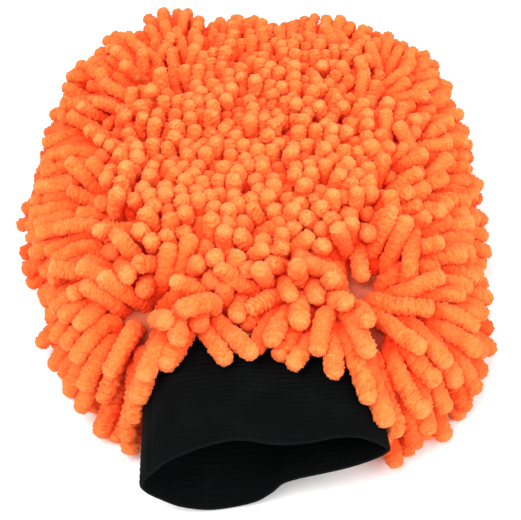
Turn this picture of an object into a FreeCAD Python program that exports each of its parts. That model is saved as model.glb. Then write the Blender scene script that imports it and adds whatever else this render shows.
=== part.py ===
import FreeCAD, Part
import Sketcher
import math
import os

# Chenille wash mitt: a sewn bag with noodle pile on both faces, a lining and an elastic cuff.
#
# Millimetres, +Z up. The mitt lies palm down, with its fingertip end along +Y and its cuff along -Y.
# The origin is on the surface that it lies on, under the middle of the whole mitt.
# The pile is made as plain beds of its true outer shape, one for each zone of noodles.

V = FreeCAD.Vector

# Driving dimensions: alias, value, what it is.
SIZES = [
    ("body_width", 176, "sewn bag, side to side, without its pile"),
    ("body_front", 96, "origin to the bag's cuff end, along -Y"),
    ("body_back", 124, "origin to the bag's fingertip end, along +Y"),
    ("palm_level", 20, "height of the bag's underside, which stands on its pile"),
    ("front_level", 50, "height of the bag's top at the cuff end"),
    ("back_level", 36, "height of the bag's top at the fingertip end"),
    ("plan_corner", 38, "corner radius of the bag seen from above"),
    ("bag_rim", 7.5, "rounding round the bag's upper and lower edges"),
    ("pile_side", 28, "reach of the noodles beyond the bag's sides and ends"),
    ("pile_top", 26, "reach of the noodles above the bag"),
    ("pile_top_rim", 27, "rounding round the top of the pile"),
    ("pile_palm_rim", 19, "rounding round the crushed palm pile"),
    ("panel_wall", 1.2, "knitted mesh backing"),
    ("lining_wall", 0.6, "lining cloth"),
    ("seam_room", 9, "gap between backing and lining round the sides, for the seam"),
    ("clearance", 0.3, "room between cloths that lie on each other"),
    ("seam_level", 28, "height of the seam that joins the two faces"),
    ("seam_width", 7.6, "seam allowance"),
    ("seam_thickness", 2.4, "two layers of backing, folded in"),
    ("zone_side", 57, "middle line to the zones of side noodles"),
    ("zone_front", 70, "origin to the zone of cuff end noodles, along -Y"),
    ("zone_back", 98, "origin to the zone of fingertip noodles, along +Y"),
    ("cuff_root", 84, "origin to the cuff's sewn edge, along -Y"),
    ("cuff_rim", 152, "origin to the cuff's free edge, along -Y"),
    ("root_width", 100, "cuff width at its sewn edge"),
    ("root_height", 30, "cuff height at its sewn edge"),
    ("root_level", 35, "height of the cuff's axis at its sewn edge"),
    ("rim_width", 104, "cuff width at its free edge"),
    ("rim_height", 52, "cuff height at its free edge"),
    ("rim_level", 28, "height of the cuff's axis at its free edge"),
    ("cuff_wall", 1.6, "thickness of the woven elastic"),
    ("cuff_gap", 1.2, "room between the cuff and the pile round it"),
    ("cord_radius", 0.55, "covered rubber thread in each rib of the cuff"),
    ("cord_sink", 0.3, "depth of a rubber thread's centre under the cuff's face"),
    ("cord_pitch", 2.6, "rib to rib"),
    ("cord_count", 20, "ribs along the cuff"),
    ("cord_start", 3.5, "free edge to the first rib"),
    ("join_width", 9, "band ends folded in at the cuff's side join"),
    ("join_depth", 1.5, "thickness of those folded ends"),
    ("join_level", 40, "height of the cuff's side join"),
    ("join_margin", 2, "free edge to the last stitch of the side join"),
    ("cuff_seam_start", 1, "sewn edge to the seam allowance"),
    ("cuff_seam_width", 8, "seam allowance inside the cuff's sewn edge"),
    ("stitch_radius", 0.35, "sewing thread"),
    ("stitch_length", 2.8, "one stitch"),
    ("stitch_pitch", 4, "stitch to stitch"),
]
FAR = 400  # half the size of a splitting box, well outside the mitt
SAME = 1e-6  # two points closer than this are one


def make_sheet(doc):
    """The spreadsheet that every size is bound to."""
    sheet = doc.addObject("Spreadsheet::Sheet", "Sizes")
    for row, (alias, value, meaning) in enumerate(SIZES, start=1):
        sheet.set(f"A{row}", meaning)
        sheet.set(f"B{row}", str(value))
        sheet.setAlias(f"B{row}", alias)
    doc.recompute()
    return sheet


doc = FreeCAD.newDocument("wash_mitt")
sheet = make_sheet(doc)


def bind(part, prop, expression):
    """Binds a property to an expression in which $name stands for a cell of the sheet."""
    part.setExpression(prop, expression.replace("$", "Sizes."))


def size(alias):
    """A cell's value, for the shapes that part.py's own code makes."""
    return float(getattr(sheet, alias))


def origin_plane(body, role):
    return next(f for f in body.Origin.OriginFeatures if f.Role == role)


def add_datum(sketch, constraint, expression):
    """Adds a dimension to a sketch and binds it to the sheet."""
    index = sketch.addConstraint(constraint)
    bind(sketch, f"Constraints[{index}]", expression)


# Solids of the bag ------------------------------------------------------------------------------


def wedge_profile(sketch, corners, limits):
    """A four-sided outline in the YZ plane: level underside, upright ends and a sloping top."""
    for i in range(4):
        start, end = corners[i], corners[(i + 1) % 4]
        sketch.addGeometry(Part.LineSegment(V(*start, 0), V(*end, 0)), False)
    for i in range(4):
        sketch.addConstraint(Sketcher.Constraint("Coincident", i, 2, (i + 1) % 4, 1))
    sketch.addConstraint(Sketcher.Constraint("Horizontal", 0))
    sketch.addConstraint(Sketcher.Constraint("Vertical", 1))
    sketch.addConstraint(Sketcher.Constraint("Vertical", 3))
    front, back, palm, front_top, back_top = limits
    (y_front, z_palm), (y_back, _), (_, z_back), (_, z_front) = corners
    add_datum(sketch, Sketcher.Constraint("DistanceX", 0, 1, -1, 1, -y_front), front)
    add_datum(sketch, Sketcher.Constraint("DistanceX", -1, 1, 1, 1, y_back), back)
    add_datum(sketch, Sketcher.Constraint("DistanceY", 0, 1, 3, 1, z_front - z_palm), front_top)
    add_datum(sketch, Sketcher.Constraint("DistanceY", 1, 1, 1, 2, z_back - z_palm), back_top)
    if palm is None:
        sketch.addConstraint(Sketcher.Constraint("PointOnObject", 0, 1, -1))
    else:
        add_datum(sketch, Sketcher.Constraint("DistanceY", -1, 1, 0, 1, z_palm), palm)


def upright_edges(shape):
    """Names of the edges of a shape that run straight up."""
    names = []
    for i, edge in enumerate(shape.Edges, start=1):
        low, high = [vertex.Point for vertex in edge.Vertexes]
        if math.hypot(low.x - high.x, low.y - high.y) < SAME:
            names.append(f"Edge{i}")
    return names


def rim_edges(shape, pick):
    """Names of the edges round the top (pick=max) or the underside (pick=min)."""
    face = pick(shape.Faces, key=lambda f: f.CenterOfMass.z)
    return [
        f"Edge{i}"
        for i, edge in enumerate(shape.Edges, start=1)
        if any(edge.isSame(other) for other in face.Edges)
    ]


def fillet(body, base, name, edges, radius):
    rounded = body.newObject("PartDesign::Fillet", name)
    rounded.Base = (base, edges)
    bind(rounded, "Radius", radius)
    doc.recompute()
    return rounded


def pillow(name, side, front, top, palm, corner, top_rim, palm_rim):
    """A rounded wedge that lies inside the bag's outer face by side, front, top and palm.

    Each is an expression in sheet cells. palm None puts the underside on the surface below.
    """
    body = doc.addObject("PartDesign::Body", name)
    sketch = body.newObject("Sketcher::SketchObject", name + "_profile")
    sketch.AttachmentSupport = (origin_plane(body, "YZ_Plane"), [""])
    sketch.MapMode = "FlatFace"
    slope = "($front_level - $back_level) / ($body_front + $body_back)"
    floor = "0" if palm is None else f"$palm_level + ({palm})"
    limits = (
        f"$body_front - ({front})",
        f"$body_back - ({side})",
        None if palm is None else floor,
        f"$front_level - {slope} * ({front}) - ({top}) - ({floor})",
        f"$back_level + {slope} * ({side}) - ({top}) - ({floor})",
    )
    front_end, back_end, underside = -size("body_front"), size("body_back"), size("palm_level")
    guess = [(front_end, underside), (back_end, underside)]
    guess += [(back_end, size("back_level")), (front_end, size("front_level"))]
    wedge_profile(sketch, guess, limits)
    pad = body.newObject("PartDesign::Pad", name + "_block")
    pad.Profile = sketch
    pad.Midplane = True
    bind(pad, "Length", f"$body_width - 2 * ({side})")
    doc.recompute()
    corners = fillet(body, pad, name + "_corners", upright_edges(pad.Shape), corner)
    above = fillet(body, corners, name + "_above", rim_edges(corners.Shape, max), top_rim)
    fillet(body, above, name + "_below", rim_edges(above.Shape, min), palm_rim)
    return body


def box(name, x, y, z):
    """A box from pairs of expressions, low and high, along each axis."""
    block = doc.addObject("Part::Box", name)
    for extent, axis, (low, high) in zip(("Length", "Width", "Height"), "xyz", (x, y, z)):
        bind(block, extent, f"({high}) - ({low})")
        bind(block, f"Placement.Base.{axis}", low)
    return block


def cut(name, base, tool):
    result = doc.addObject("Part::Cut", name)
    result.Base = base
    result.Tool = tool
    return result


def common(name, *shapes):
    result = doc.addObject("Part::MultiCommon", name)
    result.Shapes = list(shapes)
    return result


def fuse(name, *shapes):
    result = doc.addObject("Part::MultiFuse", name)
    result.Shapes = list(shapes)
    return result


# Solids of the cuff -----------------------------------------------------------------------------


def stadium_sketch(body, name, grow, station, width, height, level):
    """A flat oval, two straights and two half circles, across the cuff at one station."""
    sketch = body.newObject("Sketcher::SketchObject", name)
    sketch.AttachmentSupport = (origin_plane(body, "XZ_Plane"), [""])
    sketch.MapMode = "FlatFace"
    bind(sketch, "AttachmentOffset.Base.z", station)
    radius, middle = size("root_height") / 2, size("root_level")
    half = size("root_width") / 2 - radius
    up, right, left = V(0, 0, 1), V(half, middle, 0), V(-half, middle, 0)
    rise = V(0, radius, 0)
    quarter = math.pi / 2
    sketch.addGeometry(Part.LineSegment(left + rise, right + rise), False)
    sketch.addGeometry(Part.ArcOfCircle(Part.Circle(right, up, radius), -quarter, quarter), False)
    sketch.addGeometry(Part.LineSegment(right - rise, left - rise), False)
    sketch.addGeometry(Part.ArcOfCircle(Part.Circle(left, up, radius), quarter, 3 * quarter), False)
    for first, second in (((0, 2), (1, 2)), ((1, 1), (2, 1)), ((2, 2), (3, 2)), ((3, 1), (0, 1))):
        sketch.addConstraint(Sketcher.Constraint("Tangent", *first, *second))
    sketch.addConstraint(Sketcher.Constraint("Horizontal", 0))
    sketch.addConstraint(Sketcher.Constraint("Symmetric", 3, 3, 1, 3, -2))
    bigger = f"{height} + 2 * ({grow})"
    add_datum(sketch, Sketcher.Constraint("Radius", 1, radius), f"({bigger}) / 2")
    add_datum(sketch, Sketcher.Constraint("DistanceX", 3, 3, 1, 3, 2 * half), f"{width} - {height}")
    add_datum(sketch, Sketcher.Constraint("DistanceY", -1, 1, 1, 3, middle), level)
    return sketch


def cuff_sections(body, name, grow):
    root = stadium_sketch(
        body, name + "_root", grow, "$cuff_root", "$root_width", "$root_height", "$root_level"
    )
    rim = stadium_sketch(
        body, name + "_rim", grow, "$cuff_rim", "$rim_width", "$rim_height", "$rim_level"
    )
    return root, rim


def loft(body, name, kind, sections):
    feature = body.newObject(kind, name)
    feature.Profile = sections[0]
    feature.Sections = [sections[1]]
    feature.Ruled = True
    return feature


def cuff_core(name, grow):
    """The cuff's outer shape as a solid, grown all round by an expression."""
    body = doc.addObject("PartDesign::Body", name)
    loft(body, name + "_loft", "PartDesign::AdditiveLoft", cuff_sections(body, name, grow))
    doc.recompute()
    return body


def cuff_tube():
    """The woven band: the cuff's outer shape less its inner shape."""
    body = doc.addObject("PartDesign::Body", "cuff_tube")
    outer = cuff_sections(body, "cuff_outside", "0")
    loft(body, "cuff_outside_loft", "PartDesign::AdditiveLoft", outer)
    doc.recompute()
    inner = cuff_sections(body, "cuff_inside", "-$cuff_wall")
    loft(body, "cuff_inside_loft", "PartDesign::SubtractiveLoft", inner)
    doc.recompute()
    return body


def along_cuff(station, root, rim):
    """A cuff size at a station along -Y, between its root and rim values."""
    share = (station - size("cuff_root")) / (size("cuff_rim") - size("cuff_root"))
    return size(root) + share * (size(rim) - size(root))


def stadium_wire(station, grow):
    """The cuff's oval at a station, grown by a distance, as a wire."""
    radius = along_cuff(station, "root_height", "rim_height") / 2
    half = along_cuff(station, "root_width", "rim_width") / 2 - radius
    level = along_cuff(station, "root_level", "rim_level")
    radius += grow
    y = -station
    above, below = level + radius, level - radius
    return Part.Wire([
        Part.LineSegment(V(-half, y, above), V(half, y, above)).toShape(),
        Part.Arc(V(half, y, above), V(half + radius, y, level), V(half, y, below)).toShape(),
        Part.LineSegment(V(half, y, below), V(-half, y, below)).toShape(),
        Part.Arc(V(-half, y, below), V(-half - radius, y, level), V(-half, y, above)).toShape(),
    ])


# Threads ----------------------------------------------------------------------------------------


def feature(name, solids):
    """A document object that holds a group of separate solids."""
    part = doc.addObject("Part::Feature", name)
    part.Shape = Part.makeCompound(solids)
    return part


def thread_ring(wire, radius):
    """A closed round thread along a wire."""
    start = wire.Edges[0].valueAt(wire.Edges[0].FirstParameter)
    across = wire.Edges[0].tangentAt(wire.Edges[0].FirstParameter)
    section = Part.Wire(Part.Circle(start, across, radius).toShape())
    shell = wire.makePipeShell([section], False, False)
    solid = Part.Solid(Part.Shell(shell.Faces))
    return solid if solid.Volume > 0 else Part.Solid(Part.Shell([f.reversed() for f in shell.Faces]))


def rubber_threads():
    """One ring of covered rubber in each rib of the cuff."""
    stations = [
        size("cuff_rim") - size("cord_start") - i * size("cord_pitch")
        for i in range(int(size("cord_count")))
    ]
    rings = [
        thread_ring(stadium_wire(station, -size("cord_sink")), size("cord_radius"))
        for station in stations
    ]
    return feature("rubber_threads", rings)


def stitch(middle, along):
    """One straight stitch, a short length of sewing thread."""
    length = size("stitch_length")
    return Part.makeCylinder(size("stitch_radius"), length, middle - along * (length / 2), along)


def stitches_on(wire):
    """Stitches in a row along a wire."""
    count = int(wire.Length / size("stitch_pitch"))
    points = wire.discretize(Number=2 * count + 1)
    row = []
    for before, middle, after in zip(points[0::2], points[1::2], points[2::2]):
        row.append(stitch(middle, (after - before).normalize()))
    return row


def corner_arc(x, y, radius, level, way_x, way_y):
    """A quarter circle of the bag's outline round (x, y), from its side to its end."""
    slant = radius * math.sqrt(0.5)
    side = V(x + way_x * radius, y, level)
    middle = V(x + way_x * slant, y + way_y * slant, level)
    end = V(x, y + way_y * radius, level)
    return Part.Arc(side, middle, end).toShape()


def line(start, end):
    return Part.LineSegment(V(*start), V(*end)).toShape()


def plan_wires(inset, level):
    """Left side, fingertip end and right side of the bag's outline, as three wires."""
    half = size("body_width") / 2 - inset
    radius = size("plan_corner") - inset
    back = size("body_back") - inset
    front = inset - size("body_front")
    turn_back, turn_front, turn_x = back - radius, front + radius, half - radius
    beside_cuff = size("root_width") / 2 + size("stitch_pitch")
    wires = {}
    for name, way in (("left_side", -1), ("right_side", 1)):
        wires[name] = Part.Wire([
            line((way * beside_cuff, front, level), (way * turn_x, front, level)),
            corner_arc(way * turn_x, turn_front, radius, level, way, -1),
            line((way * half, turn_front, level), (way * half, turn_back, level)),
        ])
    wires["fingertip"] = Part.Wire([
        corner_arc(-turn_x, turn_back, radius, level, -1, 1),
        line((-turn_x, back, level), (turn_x, back, level)),
        corner_arc(turn_x, turn_back, radius, level, 1, 1),
    ])
    return wires


def seam_stitches():
    """A row of stitches along the middle of each length of seam allowance."""
    inset = size("panel_wall") + size("clearance") + size("seam_width") / 2
    level = size("seam_level") + size("seam_thickness") / 2 + size("stitch_radius")
    return {
        place: feature(f"{place}_seam_stitches", stitches_on(wire))
        for place, wire in plan_wires(inset, level).items()
    }


def cuff_seam_stitches():
    """A ring of stitches where the cuff is sewn to the bag."""
    station = size("cuff_root") + size("cuff_seam_start") + size("cuff_seam_width") / 2
    outside = stadium_wire(station, size("stitch_radius") + size("clearance"))
    return feature("cuff_seam_stitches", stitches_on(outside))


def cuff_join_stitches():
    """Two rows of stitches along the cuff's side join."""
    near = size("cuff_root") + 2 * size("cuff_seam_start") + size("cuff_seam_width")
    far = size("cuff_rim") - size("join_margin")
    rows = []
    for offset in (-size("join_width") / 4, size("join_width") / 4):
        height = size("join_level") + offset
        ends = []
        for station in (near, far):
            radius = along_cuff(station, "root_height", "rim_height") / 2
            straight = along_cuff(station, "root_width", "rim_width") / 2 - radius
            rise = height - along_cuff(station, "root_level", "rim_level")
            radius -= size("cuff_wall") + size("join_depth") + size("stitch_radius") + size("clearance")
            ends.append(V(-straight - math.sqrt(radius**2 - rise**2), -station, height))
        rows += stitches_on(Part.Wire(Part.LineSegment(*ends).toShape()))
    return feature("cuff_join_stitches", rows)


# The mitt ---------------------------------------------------------------------------------------


def split(name, whole, x, y, z):
    """The part of a solid that lies in a box."""
    return common(name, whole, box(name + "_box", x, y, z))


def sewn_bag(cuff_room):
    """Backing and lining of both faces, and the seam allowance between them."""
    wall, cloth = "$panel_wall", "$lining_wall"
    snug, room = f"{wall} + $clearance", f"{wall} + $seam_room"
    outside = pillow("bag_outside", "0", "0", "0", "0", "$plan_corner", "$bag_rim", "$bag_rim")
    inside = pillow(
        "bag_inside", wall, wall, wall, wall,
        f"$plan_corner - {wall}", f"$bag_rim - {wall}", f"$bag_rim - {wall}",
    )
    lining_out = pillow(
        "lining_outside", room, room, snug, snug,
        f"$plan_corner - ({room})", f"$bag_rim - {wall}", f"$bag_rim - {wall}",
    )
    lining_in = pillow(
        "lining_inside", f"{room} + {cloth}", f"{room} + {cloth}", f"{snug} + {cloth}",
        f"{snug} + {cloth}", f"$plan_corner - ({room}) - {cloth}",
        f"$bag_rim - {wall} - {cloth}", f"$bag_rim - {wall} - {cloth}",
    )
    backing = cut("backing", cut("backing_shell", outside, inside), cuff_room)
    lining = cut("lining", cut("lining_shell", lining_out, lining_in), cuff_room)
    everywhere = (str(-FAR), str(FAR))
    upper, lower = ("$seam_level", str(FAR)), (str(-FAR), "$seam_level")
    parts = {
        "back_panel": split("back_panel", backing, everywhere, everywhere, upper),
        "palm_panel": split("palm_panel", backing, everywhere, everywhere, lower),
        "back_lining": split("back_lining", lining, everywhere, everywhere, upper),
        "palm_lining": split("palm_lining", lining, everywhere, everywhere, lower),
    }
    return outside, parts


def seam_plate(name, inset):
    """A flat plate of the bag's outline, as thick as the seam, inside its outer face by inset."""
    body = doc.addObject("PartDesign::Body", name)
    sketch = body.newObject("Sketcher::SketchObject", name + "_outline")
    sketch.AttachmentSupport = (origin_plane(body, "XY_Plane"), [""])
    sketch.MapMode = "FlatFace"
    bind(sketch, "AttachmentOffset.Base.z", "$seam_level - $seam_thickness / 2")
    half, front_end, back_end = size("body_width") / 2, -size("body_front"), size("body_back")
    points = [V(-half, front_end), V(half, front_end), V(half, back_end), V(-half, back_end)]
    for i in range(4):
        sketch.addGeometry(Part.LineSegment(points[i], points[(i + 1) % 4]), False)
    for i in range(4):
        sketch.addConstraint(Sketcher.Constraint("Coincident", i, 2, (i + 1) % 4, 1))
    for i, word in enumerate(("Vertical", "Horizontal", "Vertical"), start=1):
        sketch.addConstraint(Sketcher.Constraint(word, i))
    sketch.addConstraint(Sketcher.Constraint("Symmetric", 0, 1, 0, 2, -2))
    width = Sketcher.Constraint("DistanceX", 0, 1, 0, 2, 2 * half)
    add_datum(sketch, width, f"$body_width - 2 * ({inset})")
    front = Sketcher.Constraint("DistanceY", 0, 1, -1, 1, -front_end)
    add_datum(sketch, front, f"$body_front - ({inset})")
    back = Sketcher.Constraint("DistanceY", -1, 1, 2, 1, back_end)
    add_datum(sketch, back, f"$body_back - ({inset})")
    pad = body.newObject("PartDesign::Pad", name + "_plate")
    pad.Profile = sketch
    bind(pad, "Length", "$seam_thickness")
    doc.recompute()
    fillet(body, pad, name + "_corners", upright_edges(pad.Shape), f"$plan_corner - ({inset})")
    return body


def seam_allowances(cuff_room):
    """The folded edges of the two backings: left side, fingertip end and right side."""
    outer = "$panel_wall + $clearance"
    ring = cut(
        "seam_ring", seam_plate("seam_out", outer), seam_plate("seam_in", f"{outer} + $seam_width")
    )
    ring = cut("open_seam_ring", ring, cuff_room)
    everywhere = (str(-FAR), str(FAR))
    turn = "$body_back - $plan_corner"
    sides = (str(-FAR), turn)
    return {
        "left_side_seam": split("left_side_seam", ring, (str(-FAR), "0"), sides, everywhere),
        "right_side_seam": split("right_side_seam", ring, ("0", str(FAR)), sides, everywhere),
        "fingertip_seam": split("fingertip_seam", ring, everywhere, (turn, str(FAR)), everywhere),
    }


def pile(outside, cuff_room):
    """The beds of noodles, five zones on each face."""
    envelope = pillow(
        "pile_outside", "-$pile_side", "-$pile_side", "-$pile_top", None,
        "$plan_corner + $pile_side", "$pile_top_rim", "$pile_palm_rim",
    )
    bed = cut("pile_bed", envelope, fuse("bag_and_cuff", outside, cuff_room))
    everywhere = (str(-FAR), str(FAR))
    middle = ("-$zone_side", "$zone_side")
    zones = {
        "center": (middle, ("-$zone_front", "$zone_back")),
        "left": ((str(-FAR), "-$zone_side"), everywhere),
        "right": (("$zone_side", str(FAR)), everywhere),
        "fingertip": (middle, ("$zone_back", str(FAR))),
        "cuff_end": (middle, (str(-FAR), "-$zone_front")),
    }
    faces = {"back": ("$seam_level", str(FAR)), "palm": (str(-FAR), "$seam_level")}
    return {
        f"{face}_pile_{zone}": split(f"{face}_pile_{zone}", bed, x, y, z)
        for face, z in faces.items()
        for zone, (x, y) in zones.items()
    }


def cuff():
    """The elastic band with its rubber threads, its side join and its sewn edge."""
    threads = rubber_threads()
    inside = cuff_core("cuff_inner_face", "-$cuff_wall")
    folded = cut("cuff_fold", inside, cuff_core("cuff_fold_face", "-$cuff_wall - $join_depth"))
    seam_start = "-$cuff_root - $cuff_seam_start"
    seam_end = f"{seam_start} - $cuff_seam_width"
    beside = ("$join_level - $join_width / 2", "$join_level + $join_width / 2")
    everywhere = (str(-FAR), str(FAR))
    return {
        "cuff_band": cut("cuff_band", cuff_tube(), threads),
        "cuff_rubber_threads": threads,
        "cuff_join_allowance": split(
            "cuff_join_allowance", folded, (str(-FAR), "0"),
            (str(-FAR), f"{seam_end} - $cuff_seam_start"), beside,
        ),
        "cuff_join_stitches": cuff_join_stitches(),
        "cuff_seam_allowance": split(
            "cuff_seam_allowance", folded, everywhere, (seam_end, seam_start), everywhere
        ),
        "cuff_seam_stitches": cuff_seam_stitches(),
    }


def build():
    cuff_room = cuff_core("cuff_room", "$cuff_gap")
    outside, parts = sewn_bag(cuff_room)
    parts.update(seam_allowances(cuff_room))
    parts.update({f"{place}_seam_stitches": part for place, part in seam_stitches().items()})
    parts.update(pile(outside, cuff_room))
    parts.update(cuff())
    doc.recompute()
    return parts


def check(parts):
    """Stops before anything is written if an object failed or a sub-part isn't sound."""
    failed = [o.Name for o in doc.Objects if {"Invalid", "Error"} & set(o.State)]
    if failed:
        raise RuntimeError(f"failed objects: {failed}")
    for name, part in parts.items():
        shape = part.Shape
        if shape.isNull() or not shape.isValid() or not shape.Solids:
            raise RuntimeError(f"{name} is not a sound solid")


def export(parts):
    os.makedirs("parts", exist_ok=True)
    for name, part in parts.items():
        part.Label = name
        part.Shape.exportStep(f"parts/{name}.step")
        print(f"{name}: {len(part.Shape.Solids)} solids, {part.Shape.Volume / 1000:.2f} cm3")


parts = build()
check(parts)
export(parts)
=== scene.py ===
import math

import bpy
import numpy as np
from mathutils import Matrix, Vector


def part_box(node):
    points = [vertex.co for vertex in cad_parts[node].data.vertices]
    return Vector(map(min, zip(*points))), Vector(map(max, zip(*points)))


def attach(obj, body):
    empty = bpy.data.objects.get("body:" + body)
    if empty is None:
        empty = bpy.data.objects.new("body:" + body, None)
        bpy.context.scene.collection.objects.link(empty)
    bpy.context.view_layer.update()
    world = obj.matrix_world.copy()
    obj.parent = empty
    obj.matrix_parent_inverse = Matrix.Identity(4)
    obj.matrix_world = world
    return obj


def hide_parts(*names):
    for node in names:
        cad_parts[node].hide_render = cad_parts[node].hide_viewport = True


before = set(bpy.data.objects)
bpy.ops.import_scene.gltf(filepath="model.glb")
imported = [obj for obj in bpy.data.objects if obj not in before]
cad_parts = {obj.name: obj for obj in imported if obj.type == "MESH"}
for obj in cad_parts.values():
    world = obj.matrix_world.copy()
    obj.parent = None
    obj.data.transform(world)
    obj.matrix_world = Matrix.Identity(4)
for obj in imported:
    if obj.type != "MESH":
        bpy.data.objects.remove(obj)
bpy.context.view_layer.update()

# Chenille wash mitt. Metres, in the CAD frame: +Z up, fingertip end along +Y, cuff along -Y.
# The noodles are settled as chains of beads that push each other, the bag and the floor away.

MM = 0.001
SEED = 11
FACES = (("back", True), ("palm", False))  # and whether each is above the seam

# Bag: two panels sewn along a rounded outline and puffed like a pillow ----

PALM_LOW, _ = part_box("palm_panel")
BACK_LOW, BACK_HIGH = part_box("back_panel")
SEAM_LEVEL = BACK_LOW.z
PALM_LEVEL = PALM_LOW.z
BAG_MIDDLE = np.array([(BACK_LOW.x + BACK_HIGH.x) / 2, (BACK_LOW.y + BACK_HIGH.y) / 2])
BAG_HALF = np.array([BACK_HIGH.x, (BACK_HIGH.y - BACK_LOW.y) / 2])
BAG_CORNER = 38 * MM
BAG_ROUNDING = 30 * MM  # inset at which a panel has come up to its full height
FRONT_TOP = 49 * MM
BACK_TOP = 37 * MM

LYING_LONGER = 4 * MM  # how far the fingertip end is drawn out
FAR_LEFT = np.array([0, 5, 2.5]) * MM  # how far the far left corner is drawn out and up
LEFT_BULGE, RIGHT_BULGE = 7 * MM, 2.5 * MM
LEFT_FORWARD, RIGHT_FORWARD = 14 * MM, 21 * MM  # how far the corners beside the cuff sag forward
LEFT_TUCK = 7 * MM  # how far the left front corner is drawn in
BULGE_MIDDLE, BULGE_REACH = 0.18, 0.5  # along the bag, in halves of its length
TUCK_START, TUCK_RUN = 0.3, 0.4  # in halves of its length, towards the cuff
SAG_START = 0.4  # in halves of its length, towards the cuff
BESIDE_START, BESIDE_RUN = 34 * MM, 26 * MM  # from the middle line, where the corners begin to sag

# Cuff -------------------------------------------

CUFF_LOW, CUFF_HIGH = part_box("cuff_band")
CUFF_ROOT = CUFF_HIGH.y
CUFF_RIM = CUFF_LOW.y
CUFF_LENGTH = CUFF_ROOT - CUFF_RIM
CUFF_WALL = 1.5 * MM
ROOT_HALF, ROOT_RADIUS, ROOT_LEVEL = 50 * MM, 15 * MM, 35 * MM
RIM_HALF, RIM_RADIUS, RIM_LEVEL = 52 * MM, 26 * MM, 28 * MM
NECK_ROOM = 1 * MM  # the bag's mouth lies this far outside the cuff
NECK_RUN = 16 * MM  # length over which the bag's mouth comes up to the cuff
NECK_SIDE = 10 * MM  # width beside the cuff over which the mouth closes to the seam
CLEARED_PAST_ROOT = 6 * MM  # how far behind the cuff's sewn edge the pile is kept out of it

# Noodles ----------------------------------------

NOODLE_RADIUS = 3.6 * MM
NOODLE_LENGTH = 31.5 * MM
KNOT_PITCH = 10.2 * MM
FINER = 0.17  # noodles get finer and closer towards the fingertips, by this share over half the bag
TWIN_GAP = 3.6 * MM  # between the two noodles of one knot
TWIN_LEAN = 0.3
BRUSHED = 0.65  # lean of the back's middle towards the fingertips
SWEPT = 0.9  # lean of the back's fingertip edge towards the right
SWEPT_REACH = 26 * MM  # from the fingertip edge
UNEVEN_LEAN = 0.33
RIM_REACH = 18 * MM  # width of the rim whose noodles all point outwards
RIM_FADE = 38 * MM  # width over which the back's noodles turn from outwards to upright
OVER_CUFF = 30 * MM  # half width of the stretch above the cuff, where fewer point outwards
ROOT_MARGIN = 2.5 * MM  # from the panel's sewn edge to the nearest roots
BEADS = 8
PACKING = 0.94  # noodles can be squeezed to this share of their thickness
SETTLE_STEPS = 140
SETTLE_ROUNDS = 4
SINK = 16 * MM  # the floor starts this far down and comes up in the first half of the steps
DRIFT = 0.7  # share of its speed that a bead keeps
WEIGHT = 0.05 * MM  # fall of a bead in one step
HOLD = 0.45  # how firmly a knot points its noodle
STIFFNESS = 0.25
PUSH = 1.4


def unit(vectors):
    return vectors / np.maximum(np.linalg.norm(vectors, axis=-1, keepdims=True), 1e-12)


def raised(plan, height):
    """Plan points, or ways, with one height for all."""
    return np.concatenate([plan, np.full((len(plan), 1), height)], 1)


def outline_inset(plan):
    """How far plan points lie inside the bag's outline, and the level way out of it."""
    offset = plan - BAG_MIDDLE
    past = np.abs(offset) - (BAG_HALF - BAG_CORNER)
    outside = np.maximum(past, 0)
    reach = np.linalg.norm(outside, axis=-1)
    inset = BAG_CORNER - reach - np.minimum(past.max(axis=-1), 0)
    along_axis = np.eye(2)[past.argmax(axis=-1)]
    way = np.where((reach > 1e-9)[..., None], unit(outside), along_axis)
    return inset, way * np.sign(offset)


def bag_height(plan_y, above):
    """Height of the bag's middle over or under its seam, at a distance along the bag."""
    share = (plan_y - BACK_LOW.y) / (BACK_HIGH.y - BACK_LOW.y)
    top = FRONT_TOP + np.clip(share, 0, 1) * (BACK_TOP - FRONT_TOP)
    return np.where(above, top - SEAM_LEVEL, SEAM_LEVEL - PALM_LEVEL)


def bag_distance(points):
    """Distance of points from the bag, less than 0 inside it, and the way out of it."""
    inset, way = outline_inset(points[..., :2])
    rise = points[..., 2] - SEAM_LEVEL
    height = bag_height(points[..., 1], rise > 0)
    across = np.maximum(BAG_ROUNDING - inset, 0) / BAG_ROUNDING
    up = rise / height
    field = np.maximum(np.hypot(across, up), 1e-6)
    slope = np.concatenate([way * (across / BAG_ROUNDING)[..., None], (up / height)[..., None]], -1)
    slope = slope / field[..., None]
    steep = np.maximum(np.linalg.norm(slope, axis=-1), 1.0)
    return (field - 1) / steep, slope / steep[..., None]


def cuff_oval(y):
    """Half straight, radius and middle height of the cuff's oval at a place along it."""
    share = np.clip((CUFF_ROOT - y) / CUFF_LENGTH, 0, 1)
    radius = ROOT_RADIUS + share * (RIM_RADIUS - ROOT_RADIUS)
    half = ROOT_HALF + share * (RIM_HALF - ROOT_HALF) - radius
    return half, radius, ROOT_LEVEL + share * (RIM_LEVEL - ROOT_LEVEL)


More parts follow.
